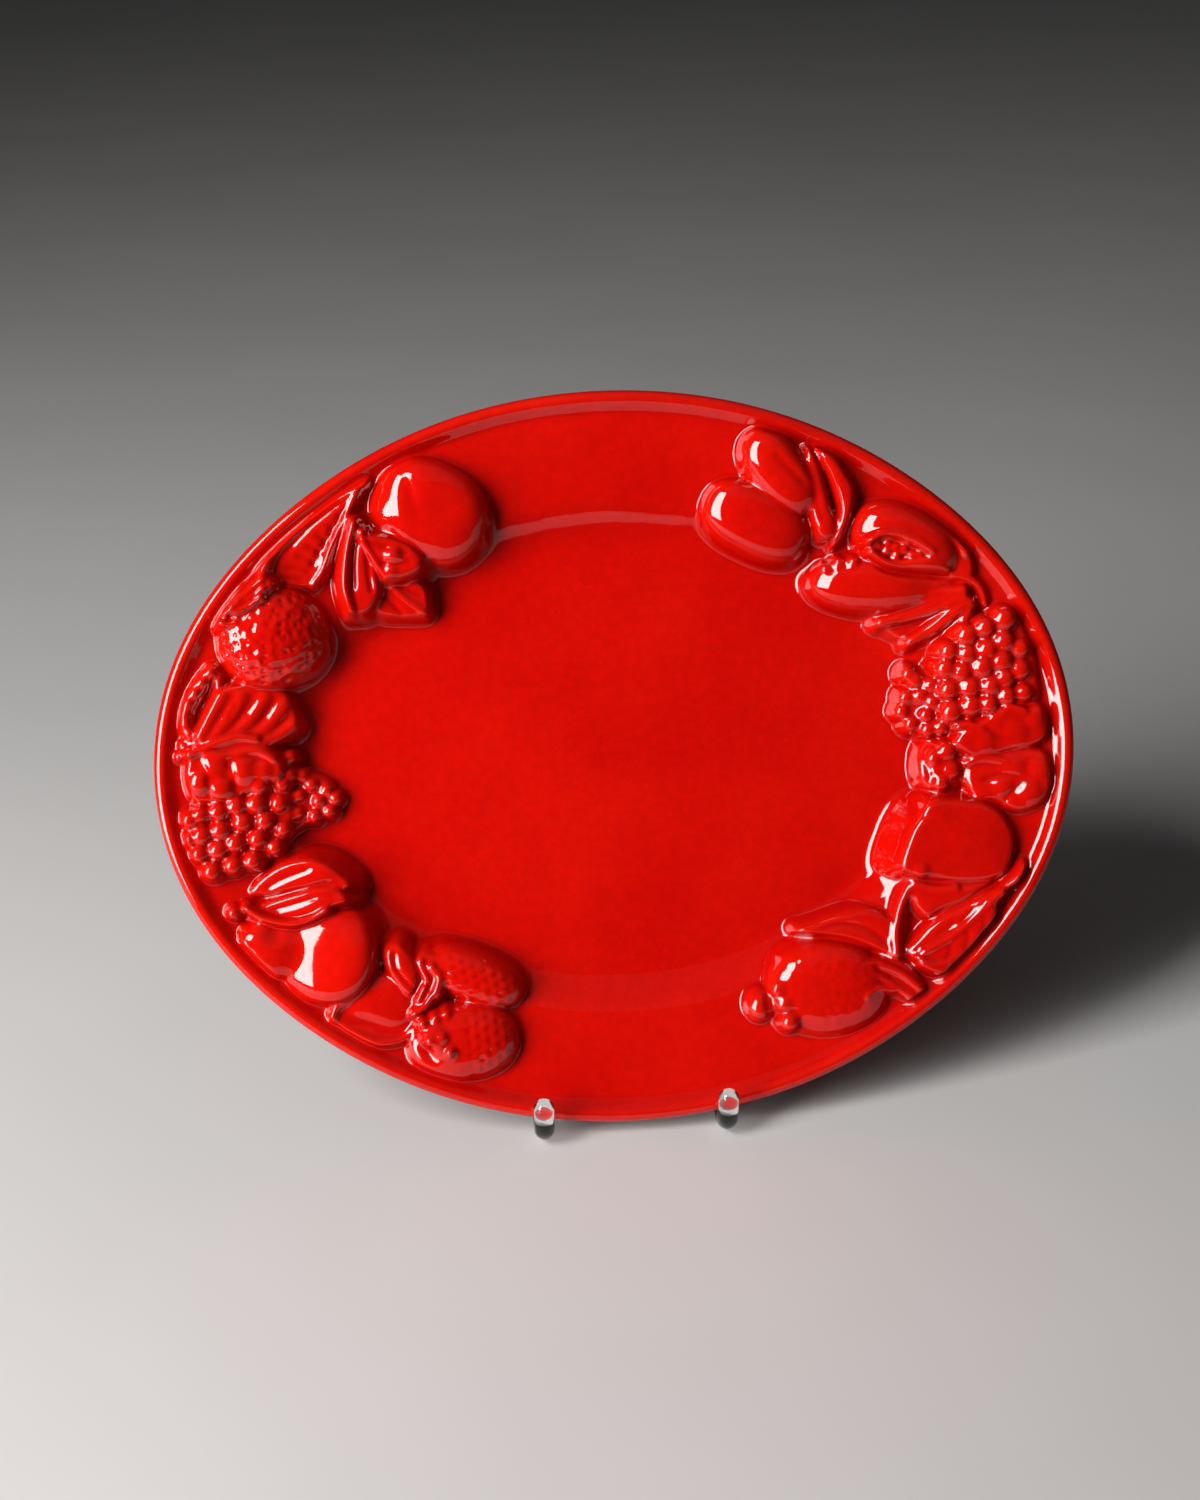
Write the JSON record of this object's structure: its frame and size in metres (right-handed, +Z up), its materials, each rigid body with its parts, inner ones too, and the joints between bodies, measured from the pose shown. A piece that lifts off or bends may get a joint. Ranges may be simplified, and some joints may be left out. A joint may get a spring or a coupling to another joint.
{
  "type": "decorative wall plate",
  "caption": "Oval glazed ceramic platter with a raised rim bead and high-relief fruit and leaves on both sides of its flange, leaning back on a bent clear rod stand.",
  "frame": {"origin": "bottom centre of the whole object's box, on the surface it stands on", "axes": "X runs along the oval's length to the right as seen from the front, Y runs back through the stand, Z is up; the plate faces -Y and leans back"},
  "size_m": [0.4302, 0.1504, 0.321],
  "materials": {
    "red_glaze": "deep orange-red glaze, glossy, with small pinholes and thin worn edges",
    "clear_acrylic": "clear polished rod, see-through"
  },
  "bodies": {
    "root": {"plate": "red_glaze", "stand": "clear_acrylic"}
  },
  "joints": []
}
